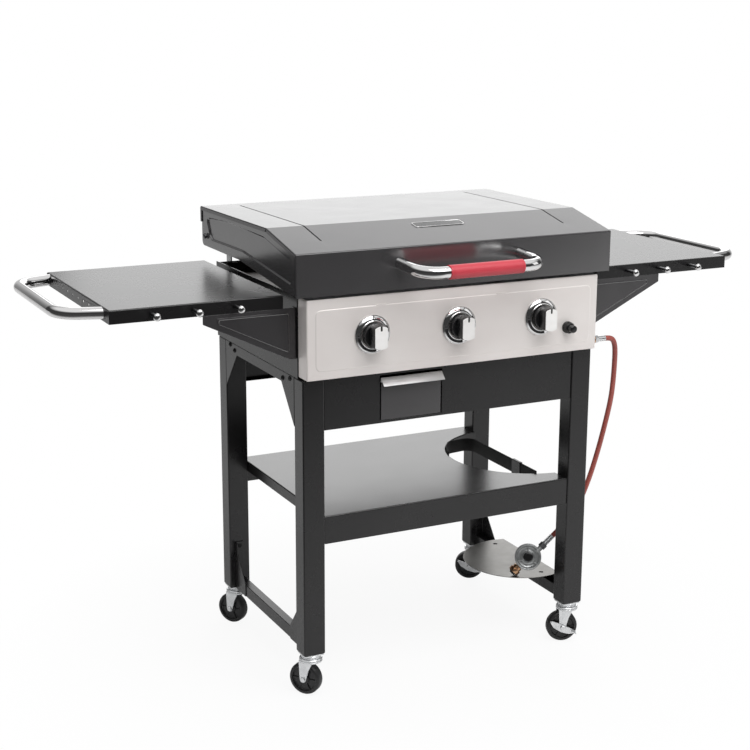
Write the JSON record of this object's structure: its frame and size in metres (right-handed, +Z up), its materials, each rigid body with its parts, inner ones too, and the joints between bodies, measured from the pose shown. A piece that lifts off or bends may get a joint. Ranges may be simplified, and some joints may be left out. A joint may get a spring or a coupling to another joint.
{
  "type": "outdoor gas griddle station",
  "caption": "Wheeled outdoor gas griddle with hinged lid, side shelves, lower shelf with bottle notch, strap and hose",
  "frame": {"origin": "on the floor, under the centre of the outer box (front of the lid grip to the rear of the lid, end handle to end handle)", "axes": "+Z up, +X to the right seen from the front, front towards -Y"},
  "size_m": [1.6872, 0.6658, 1.014],
  "materials": {
    "black_steel": "satin black powder coat",
    "stainless": "brushed, warm light grey",
    "zinc": "bright zinc plate",
    "chrome": "mirror chrome",
    "griddle_iron": "seasoned flat steel plate",
    "brass": "machined",
    "cast_zinc": "die-cast grey",
    "red_grip": "satin red",
    "black_plastic": "satin black",
    "wheel_rubber": "satin black tread",
    "black_rubber": "matte",
    "hose_rubber": "red-brown smooth hose",
    "webbing": "woven black"
  },
  "bodies": {
    "base": {"leg_front_left": "black_steel", "leg_front_right": "black_steel", "leg_rear_left": "black_steel", "leg_rear_right": "black_steel", "upper_rails": "black_steel", "lower_rails": "black_steel", "lower_rail_brackets": "black_steel", "rear_apron": "black_steel", "front_apron": "black_steel", "lower_shelf": "black_steel", "firebox": "black_steel", "side_shelf_left": "black_steel", "side_shelf_right": "black_steel", "shelf_brackets": "black_steel", "frame_bolts": "black_steel", "control_panel": "stainless", "tank_plate": "stainless", "burners": "stainless", "hinge_brackets": "zinc", "hinge_rod": "zinc", "caster_mounts": "zinc", "regulator_outlet": "zinc", "gas_inlet_fitting": "zinc", "end_handles": "chrome", "tool_hooks": "chrome", "knob_bezels": "chrome", "regulator_nut": "brass", "gas_manifold": "brass", "regulator_body": "cast_zinc", "igniter_housing": "black_plastic", "strap_buckle": "black_plastic", "regulator_vent_cap": "black_plastic", "regulator_seal": "black_rubber", "gas_hose": "hose_rubber", "bottle_strap": "webbing"},
    "lid": {"lid_shell": "black_steel", "lid_end_caps": "black_steel", "lid_handle": "chrome", "lid_grip": "red_grip", "lid_badge": "stainless"},
    "griddle": {"griddle_plate": "griddle_iron"},
    "drawer": {"grease_tray": "black_steel", "drawer_pull": "zinc"},
    "igniter": {"igniter_button": "black_plastic"},
    "stem_left": {"valve_stem_left": "brass"},
    "knob_left_body": {"knob_left": "black_plastic"},
    "stem_centre": {"valve_stem_centre": "brass"},
    "knob_centre_body": {"knob_centre": "black_plastic"},
    "stem_right": {"valve_stem_right": "brass"},
    "knob_right_body": {"knob_right": "black_plastic"},
    "fork_front_left": {"caster_fork_front_left": "zinc"},
    "wheel_front_left": {"caster_wheel_front_left": "wheel_rubber"},
    "fork_front_right": {"caster_fork_front_right": "zinc"},
    "wheel_front_right": {"caster_wheel_front_right": "wheel_rubber"},
    "brake_front": {"brake_pedal_front": "zinc"},
    "fork_rear_left": {"caster_fork_rear_left": "zinc"},
    "wheel_rear_left": {"caster_wheel_rear_left": "wheel_rubber"},
    "fork_rear_right": {"caster_fork_rear_right": "zinc"},
    "wheel_rear_right": {"caster_wheel_rear_right": "wheel_rubber"},
    "brake_rear": {"brake_pedal_rear": "zinc"}
  },
  "joints": [
    {"name": "lid_hinge", "type": "hinge", "parent": "base", "child": "lid", "pos_m": [0, 0.29957, 0.9455], "axis": [-1, 0, 0], "range_deg": [0, 90]},
    {"name": "griddle_lift", "type": "slide", "parent": "base", "child": "griddle", "axis": [0, 0, 1], "range_m": [0, 0.06]},
    {"name": "drawer_slide", "type": "slide", "parent": "base", "child": "drawer", "axis": [0, -1, 0], "range_m": [0, 0.17]},
    {"name": "igniter_push", "type": "slide", "parent": "base", "child": "igniter", "axis": [0, 1, 0], "range_m": [0, 0.006], "stiffness_N_per_m": 800, "springref_m": -0.002},
    {"name": "knob_left_push", "type": "slide", "parent": "base", "child": "stem_left", "axis": [0, 1, 0], "range_m": [0, 0.003], "stiffness_N_per_m": 1500, "springref_m": -0.002},
    {"name": "knob_left_turn", "type": "hinge", "parent": "stem_left", "child": "knob_left_body", "pos_m": [-0.206, -0.22912, 0.802], "axis": [0, -1, 0], "range_deg": [0, 135]},
    {"name": "knob_centre_push", "type": "slide", "parent": "base", "child": "stem_centre", "axis": [0, 1, 0], "range_m": [0, 0.003], "stiffness_N_per_m": 1500, "springref_m": -0.002},
    {"name": "knob_centre_turn", "type": "hinge", "parent": "stem_centre", "child": "knob_centre_body", "pos_m": [0, -0.22912, 0.802], "axis": [0, -1, 0], "range_deg": [0, 135]},
    {"name": "knob_right_push", "type": "slide", "parent": "base", "child": "stem_right", "axis": [0, 1, 0], "range_m": [0, 0.003], "stiffness_N_per_m": 1500, "springref_m": -0.002},
    {"name": "knob_right_turn", "type": "hinge", "parent": "stem_right", "child": "knob_right_body", "pos_m": [0.206, -0.22912, 0.802], "axis": [0, -1, 0], "range_deg": [0, 135]},
    {"name": "caster_front_left_swivel", "type": "hinge", "parent": "base", "child": "fork_front_left", "pos_m": [-0.331, -0.16762, 0.083], "axis": [0, 0, 1], "continuous": true},
    {"name": "caster_front_left_roll", "type": "hinge", "parent": "fork_front_left", "child": "wheel_front_left", "pos_m": [-0.33839, -0.15817, 0.0365], "axis": [-0.788, -0.6157, 0], "continuous": true},
    {"name": "caster_front_right_swivel", "type": "hinge", "parent": "base", "child": "fork_front_right", "pos_m": [0.331, -0.16762, 0.083], "axis": [0, 0, 1], "continuous": true},
    {"name": "caster_front_right_roll", "type": "hinge", "parent": "fork_front_right", "child": "wheel_front_right", "pos_m": [0.31972, -0.16352, 0.0365], "axis": [-0.342, -0.9397, 0], "continuous": true},
    {"name": "brake_front_rock", "type": "hinge", "parent": "fork_front_right", "child": "brake_front", "pos_m": [0.31972, -0.16352, 0.0365], "axis": [-0.342, -0.9397, 0], "range_deg": [0, 24]},
    {"name": "caster_rear_left_swivel", "type": "hinge", "parent": "base", "child": "fork_rear_left", "pos_m": [-0.331, 0.26937, 0.083], "axis": [0, 0, 1], "continuous": true},
    {"name": "caster_rear_left_roll", "type": "hinge", "parent": "fork_rear_left", "child": "wheel_rear_left", "pos_m": [-0.33788, 0.2792, 0.0365], "axis": [-0.8192, -0.5736, 0], "continuous": true},
    {"name": "caster_rear_right_swivel", "type": "hinge", "parent": "base", "child": "fork_rear_right", "pos_m": [0.331, 0.26937, 0.083], "axis": [0, 0, 1], "continuous": true},
    {"name": "caster_rear_right_roll", "type": "hinge", "parent": "fork_rear_right", "child": "wheel_rear_right", "pos_m": [0.32061, 0.27537, 0.0365], "axis": [-0.5, -0.866, 0], "continuous": true},
    {"name": "brake_rear_rock", "type": "hinge", "parent": "fork_rear_right", "child": "brake_rear", "pos_m": [0.32061, 0.27537, 0.0365], "axis": [-0.5, -0.866, 0], "range_deg": [0, 24]}
  ]
}
